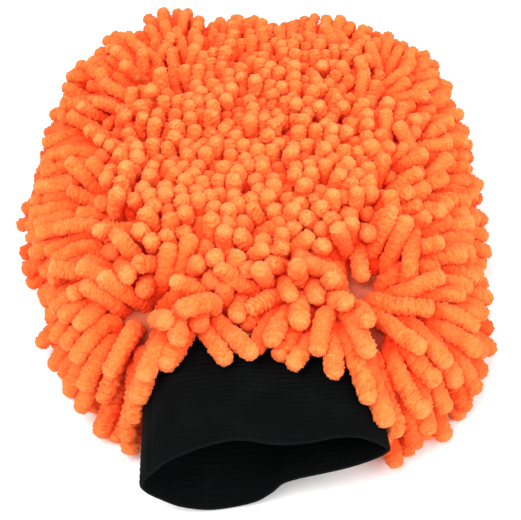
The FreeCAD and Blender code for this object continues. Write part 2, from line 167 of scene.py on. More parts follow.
def bag_surface(plan, above, lift=0.0, outline=None, neck_room=NECK_ROOM):
    """Points of the bag's back (above) or palm face over plan points. It runs onto the cuff.

    The lining is smaller, so its shape is read at the points of the outline that it stands for.
    """
    outline = plan if outline is None else outline
    inset, _ = outline_inset(outline)
    across = np.clip((BAG_ROUNDING - inset) / BAG_ROUNDING, 0, 1)
    height = bag_height(outline[..., 1], np.full(across.shape, above)) - lift
    side = 1 if above else -1
    rise = height * np.sqrt(1 - across**2)
    half, radius, level = cuff_oval(plan[..., 1])
    radius = radius + neck_room
    beyond = np.maximum(np.abs(plan[..., 0]) - half, 0)
    neck = side * (level - SEAM_LEVEL) + np.sqrt(np.maximum(radius**2 - beyond**2, 0))
    near = np.clip((CUFF_ROOT + NECK_RUN - plan[..., 1]) / NECK_RUN, 0, 1)
    close = np.clip((radius + NECK_SIDE - beyond) / NECK_SIDE, 0, 1)
    near = near * near * (3 - 2 * near) * close * close * (3 - 2 * close)
    rise = rise + np.maximum(neck - rise, 0) * near
    return np.concatenate([plan, (SEAM_LEVEL + side * rise)[..., None]], -1)


def as_it_lies(points):
    """The soft bag as it lies: bulged at its sides, with its front corners sagging beside the cuff."""
    x, y = points[..., 0] / BAG_HALF[0], points[..., 1] / BAG_HALF[1]
    left = x < 0
    bulge = np.exp(-(((y - BULGE_MIDDLE) / BULGE_REACH) ** 4))
    bulge = bulge * np.where(left, LEFT_BULGE, RIGHT_BULGE)
    tuck = np.clip((-y - TUCK_START) / TUCK_RUN, 0, 1) * np.where(left, LEFT_TUCK, 0)
    beside = np.clip((np.abs(points[..., 0]) - BESIDE_START) / BESIDE_RUN, 0, 1)
    beside = beside * beside * (3 - 2 * beside) * (1 - 0.4 * np.clip((np.abs(x) - 0.7) / 0.3, 0, 1))
    forward = np.clip((-y - SAG_START) / (1 - SAG_START), 0, 1.4)
    forward = forward * np.where(left, LEFT_FORWARD, RIGHT_FORWARD)
    corner = np.clip(-x, 0, 1.2) * np.clip(y, 0, 1.2)
    moved = points + corner[..., None] * FAR_LEFT
    moved[..., 0] += (bulge * np.sign(x) + tuck) * x**2
    moved[..., 1] += LYING_LONGER * np.clip(y + 0.25, 0, 1.5) ** 1.5 - forward * beside
    moved[..., 2] = np.maximum(moved[..., 2], 0)
    return moved


def cuff_distance(points):
    """Distance of points from the cuff's side, and the way out of it. Far away off its ends."""
    half, radius, level = cuff_oval(points[..., 1])
    beyond = points[..., 0] - np.clip(points[..., 0], -half, half)
    rise = points[..., 2] - level
    reach = np.maximum(np.hypot(beyond, rise), 1e-9)
    way = np.stack([beyond / reach, np.zeros_like(reach), rise / reach], -1)
    along = (points[..., 1] < CUFF_ROOT) & (points[..., 1] > CUFF_RIM - 4 * MM)
    return np.where(along, reach - radius, 1.0), way


# Settling ---------------------------------------


def coarseness(y):
    """Size of the noodles and of their spacing at a place along the mitt, as a share."""
    return 1 - FINER * y / BAG_HALF[1]


def noodle_roots(above, rng):
    """Roots of one face's noodles, and the lean that parts the two noodles of each knot.

    The knots are a jittered triangular grid over the panel laid out flat.
    """
    middle_height = float(bag_height(BAG_MIDDLE[1], above))
    turn = np.linspace(0, math.pi / 2, 60)
    steps = np.hypot(BAG_ROUNDING * np.sin(turn), middle_height * np.cos(turn))
    arc = np.concatenate([[0], np.cumsum((steps[1:] + steps[:-1]) / 2 * (turn[1] - turn[0]))])
    spare = arc[-1] - BAG_ROUNDING
    reach = BAG_HALF + spare
    last = math.ceil(reach[0] / KNOT_PITCH) + 2
    columns = np.arange(-last, last + 1)
    grid, row, y = [], 0, -reach[1]
    while y < reach[1]:
        pitch = KNOT_PITCH * coarseness(BAG_MIDDLE[1] + y)
        grid += [((column + 0.5 * (row % 2)) * pitch, y) for column in columns]
        row, y = row + 1, y + pitch * math.sqrt(0.75)
    knots = np.array(grid) + rng.normal(0, 0.08, (len(grid), 2)) * KNOT_PITCH + BAG_MIDDLE
    if above:
        chance = rng.random(len(knots))
        for spot, bare in BARE_SPOTS:
            away = np.linalg.norm(knots - np.array(spot) * MM, axis=1)
            sparse = (away < SPARSE_REACH) & (chance < SPARSE_SHARE)
            kept = (away > bare * MM) & ~sparse
            knots, chance = knots[kept], chance[kept]
    turned = rng.uniform(0, math.pi, len(knots))
    parting = np.stack([np.cos(turned), np.sin(turned)], 1)
    parting = np.concatenate([parting, -parting])
    flat = np.concatenate([knots, knots]) + parting * TWIN_GAP / 2
    inset, way = outline_inset(flat)
    laid = inset + spare
    kept = laid > ROOT_MARGIN
    flat, laid, way, parting = flat[kept], laid[kept], way[kept], parting[kept]
    curved = BAG_ROUNDING * (1 - np.cos(np.interp(laid, arc, turn)))
    wanted = np.where(laid < arc[-1], curved, laid - spare)
    plan = flat + way * (laid - spare - wanted)[:, None]
    return bag_surface(plan, above), parting * TWIN_LEAN


# Where the pile parts: (start, end, reach, strength), on the back of the mitt, in millimetres.
PARTINGS = [
    ((-49, -79), (-49, -79), 21, 2.2),
    ((45, -71), (45, -71), 22, 2.2),
    ((-68, -34), (-76, 62), 11, 1.5),
    ((-45, 61), (-45, 61), 30, 1.5),
    ((-29, 100), (-43, 127), 10, 1.5),
    ((56, 100), (54, 40), 12, 1.4),
    ((34, 28), (38, 22), 8, 0.8),
    ((8, -10), (13, -14), 8, 0.8),
    ((-14, 38), (-9, 35), 7, 0.7),
]
BARE_SPOTS = [((-49, -79), 3.5), ((45, -71), 3.5)]
SPARSE_REACH = 34 * MM  # round each bare spot the pile is thinner by this share of its knots
SPARSE_SHARE = 0.13


def away_from_partings(plan):
    """Lean of the noodles on the back away from each parting."""
    lean = np.zeros_like(plan)
    for start, end, reach, strength in PARTINGS:
        a, b = np.array(start) * MM, np.array(end) * MM
        run = b - a
        share = np.clip((plan - a) @ run / max(run @ run, 1e-12), 0, 1)
        offset = plan - (a + share[:, None] * run)
        distance = np.linalg.norm(offset, axis=1)
        pull = strength * np.exp(-((distance / (reach * MM)) ** 2))
        lean += unit(offset) * pull[:, None]
    return lean


def ripple(plan, rng, waves=6, size=0.5):
    """A slow random lean, so that neighbours lean together."""
    lean = np.zeros_like(plan)
    for _ in range(waves):
        wave = rng.normal(0, 1, 2) * 2 * math.pi / (70 * MM)
        phase = rng.uniform(0, 2 * math.pi)
        lean += np.sin(plan @ wave + phase)[:, None] * rng.normal(0, size / math.sqrt(waves / 2), 2)
    return lean


def noodle_aims(roots, parting, above, rng):
    """The way in which each noodle leaves its knot: off the bag, leaning as the pile lies there."""
    plan = roots[:, :2]
    off_bag, normal = bag_distance(roots)
    off_cuff, cuff_normal = cuff_distance(roots)
    normal = np.where((off_cuff < off_bag)[:, None], cuff_normal, normal)
    inset, way = outline_inset(plan)
    edge = np.exp(-((np.maximum(inset, 0) / RIM_REACH) ** 4))
    near_edge = np.exp(-((np.maximum(inset, 0) / RIM_FADE) ** 2))
    over_cuff = np.exp(-((plan[:, 0] / OVER_CUFF) ** 6)) * (plan[:, 1] < 0)
    loose = ripple(plan, rng) + rng.normal(0, UNEVEN_LEAN, plan.shape) + parting
    if above:
        loose[:, 1] += BRUSHED * (1 - near_edge)
    lean = loose * (1 - 0.8 * edge)[:, None]
    if above:
        outward = (1.1 * edge + 0.5 * near_edge) * (1 - 0.7 * over_cuff)
        lean += way * outward[:, None] + away_from_partings(plan)
        fingertips = np.exp(-(((BACK_HIGH.y - plan[:, 1]) / SWEPT_REACH) ** 2))
        lean[:, 0] += SWEPT * fingertips * np.clip(0.7 + plan[:, 0] / (60 * MM), 0, 1)
    else:
        lean += way * (0.6 + 0.8 * edge)[:, None]
    return unit(unit(normal) + raised(lean, 0.0))


NEAR_BLOCK = 256


def near_pairs(points, owner, reach):
    """Pairs of beads of different noodles that are nearer to each other than a reach."""
    order = np.argsort(points[:, 1], kind="stable")
    places, whose = points[order], owner[order]
    firsts, seconds = [], []
    for start in range(0, len(points), NEAR_BLOCK):
        block = places[start:start + NEAR_BLOCK]
        rest = places[start:np.searchsorted(places[:, 1], block[-1, 1] + reach)]
        apart = ((block[:, None] - rest[None]) ** 2).sum(-1)
        first, second = np.nonzero(apart < reach**2)
        keep = (first < second) & (whose[start + first] != whose[start + second])
        firsts.append(order[start + first[keep]])
        seconds.append(order[start + second[keep]])
    return np.concatenate(firsts), np.concatenate(seconds)


def push_apart(points, pairs, radius):
    """Moves overlapping beads away from each other."""
    first, second = pairs
    reach = (radius[first] + radius[second]) * PACKING
    gap = points[first] - points[second]
    apart = np.maximum(np.linalg.norm(gap, axis=1), 1e-9)
    push = np.maximum(reach - apart, 0)
    move = gap * (0.5 * push / apart)[:, None]
    touched = np.bincount(first, push > 0, len(points)) + np.bincount(second, push > 0, len(points))
    for axis in range(3):
        shift = np.bincount(first, move[:, axis], len(points))
        shift -= np.bincount(second, move[:, axis], len(points))
        points[:, axis] += PUSH * shift / np.maximum(touched, 1)


def keep_outside(beads, distance, way, room):
    short = np.maximum(room - distance, 0)
    beads += way * short[..., None]


def settle(roots, aims, lengths, girth):
    """Lays the noodles: each a chain of beads that is stiff, has weight and takes up room."""
    spacing = ((lengths - girth) / (BEADS - 1))[:, None, None]
    beads = roots[:, None] + aims[:, None] * spacing * np.arange(BEADS)[None, :, None]
    before = beads.copy()
    owner = np.repeat(np.arange(len(roots)), BEADS)
    radius = np.repeat(girth, BEADS)
    girth = girth[:, None]
    bag_room = np.minimum(girth * 0.9, spacing[..., 0] * np.arange(BEADS)[None] * 0.8)
    reach = 2 * radius.max() * PACKING
    pairs = None
    for step in range(SETTLE_STEPS):
        floor = -SINK * max(0.0, 1 - step / (0.5 * SETTLE_STEPS))
        if step % 5 == 0:
            pairs = near_pairs(beads.reshape(-1, 3), owner, reach + 3 * MM)
        drift = (beads - before) * DRIFT
        before = beads.copy()
        beads = beads + drift
        beads[:, 1:, 2] -= WEIGHT
        for _ in range(SETTLE_ROUNDS):
            beads[:, 1] += HOLD * (roots + aims * spacing[:, 0] - beads[:, 1])
            beads[:, 1:-1] += STIFFNESS * ((beads[:, :-2] + beads[:, 2:]) / 2 - beads[:, 1:-1])
            beads[:, -1] += STIFFNESS * (2 * beads[:, -2] - beads[:, -3] - beads[:, -1])
            flat = beads.reshape(-1, 3)
            push_apart(flat, pairs, radius)
            beads = flat.reshape(beads.shape)
            keep_outside(beads, *bag_distance(beads), bag_room)
            keep_outside(beads, *cuff_distance(beads), girth)
            beads[..., 2] = np.maximum(beads[..., 2], floor + girth + NAP)
            beads[:, 0] = roots
            for bead in range(1, BEADS):
                link = beads[:, bead] - beads[:, bead - 1]
                beads[:, bead] = beads[:, bead - 1] + unit(link) * spacing[:, 0]
    beads[..., 2] = np.maximum(beads[..., 2], girth + NAP)
    return beads


def clear_of_cuff(points, room):
    """Moves points that have sagged into the cuff out of it again, to a distance from its face."""
    outer, _, _, out = cuff_frames(np.linspace(0, 1, 24))
    face, way = outer[:, ::5].reshape(-1, 3), out[:, ::5].reshape(-1, 3)
    beside = points[..., 1] < CUFF_ROOT + CLEARED_PAST_ROOT
    room = np.broadcast_to(room, points.shape[:-1])[beside]
    for _ in range(3):
        here = points[beside]
        nearest = ((here[:, None] - face[None]) ** 2).sum(-1).argmin(1)
        off = ((here - face[nearest]) * way[nearest]).sum(-1)
        points[beside] += way[nearest] * np.maximum(room - off, 0)[:, None]
    return points


SHELTER_REACH = 13 * MM
SHELTER_TYPICAL = 2.2


def shelter(beads):
    """How deep each bead lies in the pile: 0 in the open, towards 1 under many others. It sets the
    noodles' painted shade.
    """
    points = beads.reshape(-1, 3)
    owner = np.repeat(np.arange(len(beads)), BEADS)
    _, way = bag_distance(points)
    way = unit(way)
    first, second = near_pairs(points, owner, SHELTER_REACH)
    gap = points[second] - points[first]
    apart = np.linalg.norm(gap, axis=1)
    cover = np.zeros(len(points))
    for here, side in ((first, 1), (second, -1)):
        rise = side * (gap * way[here]).sum(1) / apart
        cover += np.bincount(here, np.maximum(rise, 0) * (1 - apart / SHELTER_REACH), len(points))
    return (1 - np.exp(-cover / SHELTER_TYPICAL)).reshape(beads.shape[:2])


# Noodle meshes ----------------------------------

SIDES = 24
ROOT_RINGS = 8
BODY_RINGS = 32
TIP_RINGS = 7
ROOT_START, ROOT_END = -0.35, 1.6  # the thin stretch at the knot, counted in beads
ROOT_GIRTH = 0.62
TIP_ROUNDNESS = 0.68  # 0.5 would be a half ball, and less is flatter
NAP = 0.5 * MM


def curve_point(p0, p1, p2, p3, t):
    """A point of the smooth curve through four points, between the second and the third."""
    return 0.5 * (
        2 * p1 + (p2 - p0) * t + (2 * p0 - 5 * p1 + 4 * p2 - p3) * t**2
        + (3 * p1 - p0 - 3 * p2 + p3) * t**3
    )


def spline(beads, places):
    """Points of a smooth curve through the beads, at places counted in beads."""
    padded = np.concatenate(
        [2 * beads[:, :1] - beads[:, 1:2], beads, 2 * beads[:, -1:] - beads[:, -2:-1]], 1
    )
    index = np.clip(np.floor(places).astype(int), 0, BEADS - 2)
    t = (places - index)[None, :, None]
    return curve_point(*(padded[:, index + k] for k in range(4)), t)


def frames(path, start):
    """Two ways across each path at each of its points, carried along without a twist."""
    tangent = unit(np.gradient(path, axis=1))
    side = np.zeros_like(path)
    side[:, 0] = unit(np.cross(tangent[:, 0], start))
    for ring in range(1, path.shape[1]):
        carried = side[:, ring - 1]
        turned = (carried * tangent[:, ring]).sum(-1, keepdims=True) * tangent[:, ring]
        side[:, ring] = unit(carried - turned)
    return side, np.cross(tangent, side)


def tube_rings(path, radius, start, sides):
    """Rings of vertices round paths, (path, ring, side, xyz); radius is (path, ring, side)."""
    side, other = frames(path, start)
    angle = np.linspace(0, 2 * math.pi, sides, endpoint=False)[None, None, :, None]
    around = side[:, :, None] * np.cos(angle) + other[:, :, None] * np.sin(angle)
    return path[:, :, None] + around * radius[..., None]


def noodle_vertices(beads, pile_shade, girth, rng):
    """Every noodle's vertices, how far along and how deep in the pile each ring is, for painted shade,
    and its nap height, for painted shade in the grooves and painted light on the tufts.
    """
    count = len(beads)
    body = np.concatenate([
        np.linspace(ROOT_START, ROOT_END, ROOT_RINGS, endpoint=False),
        np.linspace(ROOT_END, BEADS - 1, BODY_RINGS),
    ])
    tip = np.linspace(0, math.pi / 2, TIP_RINGS + 1)[1:] * 0.96
    path = spline(beads, body)
    girth = girth[:, None]
    ahead = unit(path[:, -1] - path[:, -2])
    cap = path[:, -1:] + ahead[:, None] * (girth[:, None] * np.sin(tip)[None, :, None])
    path = np.concatenate([path, cap], 1)
    rings = path.shape[1]
    radius = np.ones((count, rings))
    swelling = np.sin(np.clip((body - ROOT_START) / 1.5, 0, 1) * math.pi / 2)
    radius[:, :len(body)] *= ROOT_GIRTH + (1 - ROOT_GIRTH) * swelling
    radius[:, len(body):] *= np.cos(tip) ** TIP_ROUNDNESS
    steps = np.linalg.norm(np.diff(path, axis=1), axis=2).mean(0)
    place = np.concatenate([[0], np.cumsum(steps)]) / MM
    angle = np.linspace(0, 2 * math.pi, SIDES, endpoint=False)
    relief = chenille_relief(count, place[None, :, None], angle, rng)
    fade = np.concatenate([np.ones(len(body)), np.cos(tip) ** 0.5 * 0.7 + 0.3])[None, :, None]
    reach = (radius * girth)[..., None] + relief * fade * MM
    vertices = tube_rings(path, reach, rng.normal(0, 1, (count, 3)), SIDES)
    places = np.concatenate([np.clip(body, 0, BEADS - 1), np.full(TIP_RINGS, BEADS - 1)])
    low = np.clip(places.astype(int), 0, BEADS - 2)
    share = places - low
    painted_shade = pile_shade[:, low] * (1 - share) + pile_shade[:, low + 1] * share
    along = np.concatenate([body, BEADS - 1 + np.sin(tip)]) / BEADS
    return vertices, along, painted_shade, np.clip(0.55 + relief / 1.6, 0, 1)


GROOVE_PITCH, GROOVE_SPREAD = 2.0, 0.3  # in millimetres, as all sizes of the relief are
GROOVE_LEAST, GROOVE_MORE = 0.1, 0.75
TUFT_RISE, TUFT_SINK = 1.1, 0.15
SWELL_SIZE = 0.08


def chenille_relief(count, place, angle, rng):
    """Height in mm of the nap: tufts, the grooves between its turns, and a slow swell."""
    rings = place.shape[1]
    pitch = rng.normal(GROOVE_PITCH, GROOVE_SPREAD, (count, 1, 1))
    phase = rng.uniform(0, 2 * math.pi, (count, 1, 1))
    twist = rng.choice([-0.5, 0.5], (count, 1, 1))
    wobble = 0.7 * np.sin(place * 0.9 + phase * 3 + angle)
    wobble = wobble + 0.6 * np.sin(place * 2.3 + phase * 5 + 2 * angle)
    turn = math.pi * place / pitch + twist * angle + phase + wobble
    groove = (1 - np.abs(np.sin(turn))) ** 2
    depth = GROOVE_LEAST + GROOVE_MORE * rng.random((count, 1, 1)) ** 1.5
    tuft = rng.random((count, rings, len(angle))) ** 3 * TUFT_RISE - TUFT_SINK
    swell = np.zeros((count, rings, len(angle)))
    for wave in range(1, 5):
        size = rng.normal(0, SWELL_SIZE, (count, 1, 1))
        turns = rng.integers(-2, 3, (count, 1, 1))
        start = rng.uniform(0, 6.3, (count, 1, 1))
        swell += size * np.sin(wave * place * 0.18 + start + turns * angle)
    return tuft + swell - depth * groove


def linked(name, mesh):
    """An object of a mesh, shaded smooth, in the scene."""
    mesh.polygons.foreach_set("use_smooth", np.ones(len(mesh.polygons), bool))
    mesh.update()
    made = bpy.data.objects.new(name, mesh)
    bpy.context.scene.collection.objects.link(made)
    return made


def tube_mesh(name, vertices, closed=False):
    """An object of tubes from their rings, (tube, ring, side, xyz), each capped unless closed."""
    count, rings, sides, _ = vertices.shape
    spans = rings if closed else rings - 1
    ring, side = np.meshgrid(np.arange(spans), np.arange(sides), indexing="ij")
    here, ahead = ring * sides, (ring + 1) % rings * sides
    beside = (side + 1) % sides
    quads = np.stack([here + side, here + beside, ahead + beside, ahead + side], -1)
    starts = np.arange(count)[:, None] * rings * sides
    loops = [(quads.reshape(1, -1) + starts).ravel()]
    sizes = [np.full(count * quads[..., 0].size, 4)]
    if not closed:
        caps = np.concatenate([np.arange(sides)[::-1], (rings - 1) * sides + np.arange(sides)])
        loops.append((caps[None] + starts).ravel())
        sizes.append(np.full(2 * count, sides))
    loops, sizes = np.concatenate(loops), np.concatenate(sizes)
    mesh = bpy.data.meshes.new(name)
    mesh.vertices.add(count * rings * sides)
    mesh.vertices.foreach_set("co", vertices.astype(np.float32).ravel())
    mesh.loops.add(len(loops))
    mesh.loops.foreach_set("vertex_index", loops.astype(np.int32))
    mesh.polygons.add(len(sizes))
    mesh.polygons.foreach_set("loop_start", (np.cumsum(sizes) - sizes).astype(np.int32))
    mesh.update(calc_edges=True)
    mesh.validate()
    return linked(name, mesh)


def mesh_object(name, vertices, faces):
    mesh = bpy.data.meshes.new(name)
    mesh.from_pydata(vertices, [], faces)
    return linked(name, mesh)


def float_attribute(made, name, values):
    layer = made.data.attributes.new(name, "FLOAT", "POINT")
    layer.data.foreach_set("value", np.asarray(values, np.float32).ravel())


def place_piece(made, material, slot, *nodes):
    """Gives a piece its material and the body it rides on, and hides the CAD nodes it stands for; the
    slot is not used.
    """
    made.data.materials.append(material)
    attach(made, "root")
    if nodes:
        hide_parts(*nodes)
    return made


# Materials --------------------------------------


def fill(made, inputs):
    """Gives a node's inputs, by name or number, values or other nodes' outputs."""
    for name, value in inputs.items():
        socket = made.inputs[name]
        if isinstance(value, bpy.types.NodeSocket):
            made.id_data.links.new(value, socket)
        else:
            socket.default_value = value


def new_material(name, roughness, specular):
    """A node material with the values that are the same all over it, its node tree and shader."""
    material = bpy.data.materials.new(name)
    material.use_nodes = True
    shader = material.node_tree.nodes["Principled BSDF"]
    fill(shader, {"Roughness": roughness, "Specular IOR Level": specular})
    return material, material.node_tree, shader


def node(tree, kind, inputs, **settings):
    """A new node's output."""
    made = tree.nodes.new("ShaderNode" + kind)
    for name, value in settings.items():
        setattr(made, name, value)
    fill(made, inputs)
    return made.outputs[0]


def attribute(tree, name):
    return node(tree, "Attribute", {}, attribute_name=name).node.outputs["Fac"]


def pattern(tree, kind, inputs, **settings):
    """A texture node's Fac, read at the place on the object, in metres."""
    place = node(tree, "TexCoord", {}).node.outputs["Object"]
    return node(tree, kind, {"Vector": place, **inputs}, **settings).node.outputs["Fac"]


def ramp(tree, value, stops):
    """A colour ramp; stops are (position, (red, green, blue))."""
    made = node(tree, "ValToRGB", {"Fac": value})
    scale = made.node.color_ramp.elements
    while len(scale) < len(stops):
        scale.new(0.5)
    for element, (position, colour) in zip(scale, stops):
        element.position = position
        element.color = (*colour, 1)
    return made


def noise(tree, size, detail=2.0):
    """Fractal noise whose features are about size metres."""
    return pattern(tree, "TexNoise", {"Scale": 1 / size, "Detail": detail})


def mix(tree, share, first, second, blend="MIX"):
    return node(tree, "MixRGB", {"Fac": share, "Color1": first, "Color2": second}, blend_type=blend)


def arithmetic(tree, first, second, operation="MULTIPLY"):
    return node(tree, "Math", {0: first, 1: second}, operation=operation)


def bands(tree, pitch, direction, distortion):
    """Parallel bands from 0 to 1, with the pitch in metres."""
    inputs = {"Scale": math.pi / (10 * pitch), "Distortion": distortion}
    return pattern(tree, "TexWave", inputs, wave_type="BANDS", bands_direction=direction)


def grid_pattern(tree, pitch):
    """A square mesh of threads, 1 on them and 0 in its holes, with the pitch in metres."""
    lines = [bands(tree, pitch, direction, 0.6) for direction in ("X", "Y")]
    return arithmetic(tree, *lines, "MAXIMUM")


def bump(tree, height, depth, strength):
    """A way out of the surface, roughened by a height from 0 to 1 that stands for depth metres."""
    return node(tree, "Bump", {"Height": height, "Distance": depth, "Strength": strength})


def chenille():
    """Orange microfibre nap, velvety; red deep down in the pile and at the knots as painted shade, and
    paler at the cut tips, partly their own colour and partly painted light.

    It gives off a little red light of its own, a painted glow that stands in for light scattered
    through the nap into its crevices.
    """
    material, tree, shader = new_material("chenille", 0.95, 0.1)
    fibre = noise(tree, 0.55 * MM, 3.0)
    patch = noise(tree, 22 * MM)
    # Painted shade: darker red towards the knots, which lie deep in the pile. The paler cut tips are
    # partly their own colour and partly painted light on their tops.
    colour = ramp(tree, attribute(tree, "along"), [
        (0.0, (0.80, 0.08, 0.014)), (0.3, (0.94, 0.16, 0.032)),
        (0.9, (0.96, 0.19, 0.042)), (1.0, (0.97, 0.255, 0.07)),
    ])
    tint = arithmetic(tree, attribute(tree, "tint"), 0.30)
    faded = mix(tree, tint, colour, (0.97, 0.25, 0.07, 1))
    uneven = mix(tree, ramp(tree, patch, [(0.35, (0, 0, 0)), (0.65, (0.35,) * 3)]), faded,
                 (0.93, 0.13, 0.024, 1))
    # Painted shade: the nap turns deep red where it lies deep in the pile.
    pile_shade = arithmetic(tree, attribute(tree, "pile_shade"), 1.4)
    painted_shade = mix(tree, pile_shade, uneven, (0.93, 0.022, 0.002, 1))
    shade = ramp(tree, fibre, [
        (0.3, (0.84, 0.64, 0.54)), (0.52, (1, 1, 1)), (0.75, (1, 1.18, 1.3)),
    ])
    # Painted shade and light: darker in the grooves between the nap's turns, paler on its tufts.
    nap_shading = ramp(tree, attribute(tree, "nap_shading"), [
        (0.05, (0.95, 0.52, 0.36)), (0.5, (0.99, 0.98, 0.97)), (0.95, (1, 1.25, 1.4)),
    ])
    groove_shaded = mix(tree, 1.0, painted_shade, nap_shading, "MULTIPLY")
    fill(shader, {
        "Base Color": mix(tree, 1.0, groove_shaded, shade, "MULTIPLY"),
        "Normal": bump(tree, fibre, 0.5 * MM, 0.9),
        # Painted glow: a little red light from the nap, standing in for light scattered into its
        # crevices.
        "Emission Color": (1.0, 0.03, 0.0, 1),
        "Emission Strength": 0.06,
        "Sheen Weight": 0.2,
        "Sheen Roughness": 0.5,
        "Sheen Tint": (1.0, 0.45, 0.2, 1),
    })
    return material


def knitted_mesh():
    """The orange warp-knitted cloth that the noodles are knotted into."""
    material, tree, shader = new_material("knitted_mesh", 0.85, 0.15)
    threads = grid_pattern(tree, 0.75 * MM)
    base = ramp(tree, threads, [(0.3, (0.30, 0.045, 0.018)), (0.8, (0.55, 0.13, 0.06))])
    patch = noise(tree, 9 * MM)
    worn = mix(tree, ramp(tree, patch, [(0.35, (0, 0, 0)), (0.7, (0.4,) * 3)]), base,
               (0.62, 0.22, 0.12, 1))
    fill(shader, {"Base Color": worn, "Normal": bump(tree, threads, 0.2 * MM, 0.7)})
    return material


def woven(name, dark, light, pitch, roughness, specular):
    """Plain cloth of a fine grid of threads, uneven in colour."""
    material, tree, shader = new_material(name, roughness, specular)
    threads = grid_pattern(tree, pitch)
    blotch = noise(tree, 12 * MM, 4.0)
    faded = ramp(tree, blotch, [(0.3, (0.6,) * 3), (0.7, (1,) * 3)])
    share = arithmetic(tree, threads, faded)
    colour = ramp(tree, share, [(0.1, dark), (0.9, light)])
    fill(shader, {"Base Color": colour, "Normal": bump(tree, threads, 0.15 * MM, 0.6)})
    return material


def thread(name, dark, light):
    """Spun sewing thread: fine oblique strands."""
    material, tree, shader = new_material(name, 0.7, 0.3)
    strands = noise(tree, 0.25 * MM)
    colour = ramp(tree, strands, [(0.3, dark), (0.7, light)])
    fill(shader, {"Base Color": colour, "Normal": bump(tree, strands, 0.1 * MM, 0.8)})
    return material


def elastic():
    """Black ribbed knit of the cuff, with a slightly paler selvedge at its free edge."""
    material, tree, shader = new_material("black_elastic", 0.85, 0.04)
    stitch = bands(tree, 0.9 * MM, "X", 1.5)
    fuzz = noise(tree, 0.4 * MM, 3.0)
    dust = noise(tree, 16 * MM, 3.0)
    knit = arithmetic(tree, stitch, fuzz)
    black = ramp(tree, knit, [
        (0.05, (0.0010, 0.0012, 0.0013)), (0.6, (0.0030, 0.0036, 0.0037)),
    ])
    worn = mix(tree, ramp(tree, dust, [(0.45, (0, 0, 0)), (0.8, (0.5,) * 3)]), black,
               (0.0046, 0.0053, 0.0055, 1))
    edge = ramp(tree, attribute(tree, "selvedge"), [(0.5, (0, 0, 0)), (1.0, (0.5,) * 3)])
    colour = mix(tree, edge, worn, (0.0045, 0.0047, 0.005, 1))
    fill(shader, {"Base Color": colour, "Normal": bump(tree, knit, 0.2 * MM, 0.7)})
    return material


def rubber():
    """Bare rubber thread, slightly dusty."""
    material, tree, shader = new_material("elastic_rubber", 0.6, 0.4)
    dust = noise(tree, 1.5 * MM, 4.0)
    grey = ramp(tree, dust, [(0.3, (0.02, 0.02, 0.02)), (0.75, (0.055, 0.055, 0.053))])
    fill(shader, {"Base Color": grey, "Normal": bump(tree, dust, 0.05 * MM, 0.5)})
    return material


# Pile -------------------------------------------

PIECE_LIMIT = 78  # noodles in one mesh
NECK_FRONT = -82 * MM  # in front of this line the panel lies on the cuff and its middle is bare
NECK_BARE = (-15 * MM, 19 * MM)


def zone_names(roots, face):
    """Which of the CAD's pile beds each noodle stands on."""
    center_low, center_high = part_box(f"{face}_pile_center")
    x, y = roots[:, 0], roots[:, 1]
    sides = [x > center_high.x, x < center_low.x, y < center_low.y, y > center_high.y]
    return np.select(sides, ["right", "left", "cuff_end", "fingertip"], "center")


def make_pile():
    rng = np.random.default_rng(SEED)
    faces, roots, aims = [], [], []
    for face, above in FACES:
        points, parting = noodle_roots(above, rng)
        beside = (points[:, 0] < NECK_BARE[0]) | (points[:, 0] > NECK_BARE[1])
        kept = (cuff_distance(points)[0] > 0) & (beside | (points[:, 1] > NECK_FRONT))
        points, parting = points[kept], parting[kept]
        roots.append(points)
        aims.append(noodle_aims(points, parting, above, rng))
        faces += [face] * len(points)
    faces, roots, aims = np.array(faces), np.concatenate(roots), np.concatenate(aims)
    lengths = NOODLE_LENGTH * rng.normal(1, 0.05, len(roots))
    girth = NOODLE_RADIUS * coarseness(roots[:, 1]) * rng.normal(1, 0.04, len(roots))
    beads = settle(roots, aims, lengths, girth)
    # How deep each bead lies in the pile sets the painted shade.
    pile_shade = shelter(beads)
    rooted = np.minimum(0.6 + 0.35 * np.arange(BEADS), 1)  # a noodle is thin at its knot
    beads = clear_of_cuff(as_it_lies(beads), girth[:, None] * rooted)
    vertices, along, painted_shade, nap_shading = noodle_vertices(beads, pile_shade, girth, rng)
    vertices[..., 2] = np.maximum(vertices[..., 2], 0)
    tints = rng.uniform(0, 1, len(roots))
    cloth = chenille()
    for face, _ in FACES:
        zones = zone_names(roots, face)
        for zone in ("center", "left", "right", "fingertip", "cuff_end"):
            chosen = np.nonzero((faces == face) & (zones == zone))[0]
            chosen = chosen[np.argsort(roots[chosen, 1])]
            parts = math.ceil(len(chosen) / PIECE_LIMIT)
            for number, group in enumerate(np.array_split(chosen, parts), start=1):
                made = tube_mesh(f"{face}_noodles_{zone}_{number}", vertices[group])
                each = vertices.shape[1] * SIDES
                float_attribute(made, "along", np.tile(np.repeat(along, SIDES), len(group)))
                float_attribute(made, "pile_shade", np.repeat(painted_shade[group], SIDES))
                float_attribute(made, "tint", np.repeat(tints[group], each))
                float_attribute(made, "nap_shading", nap_shading[group])
                place_piece(made, cloth, "chenille_pile", f"{face}_pile_{zone}")


# Bag --------------------------------------------

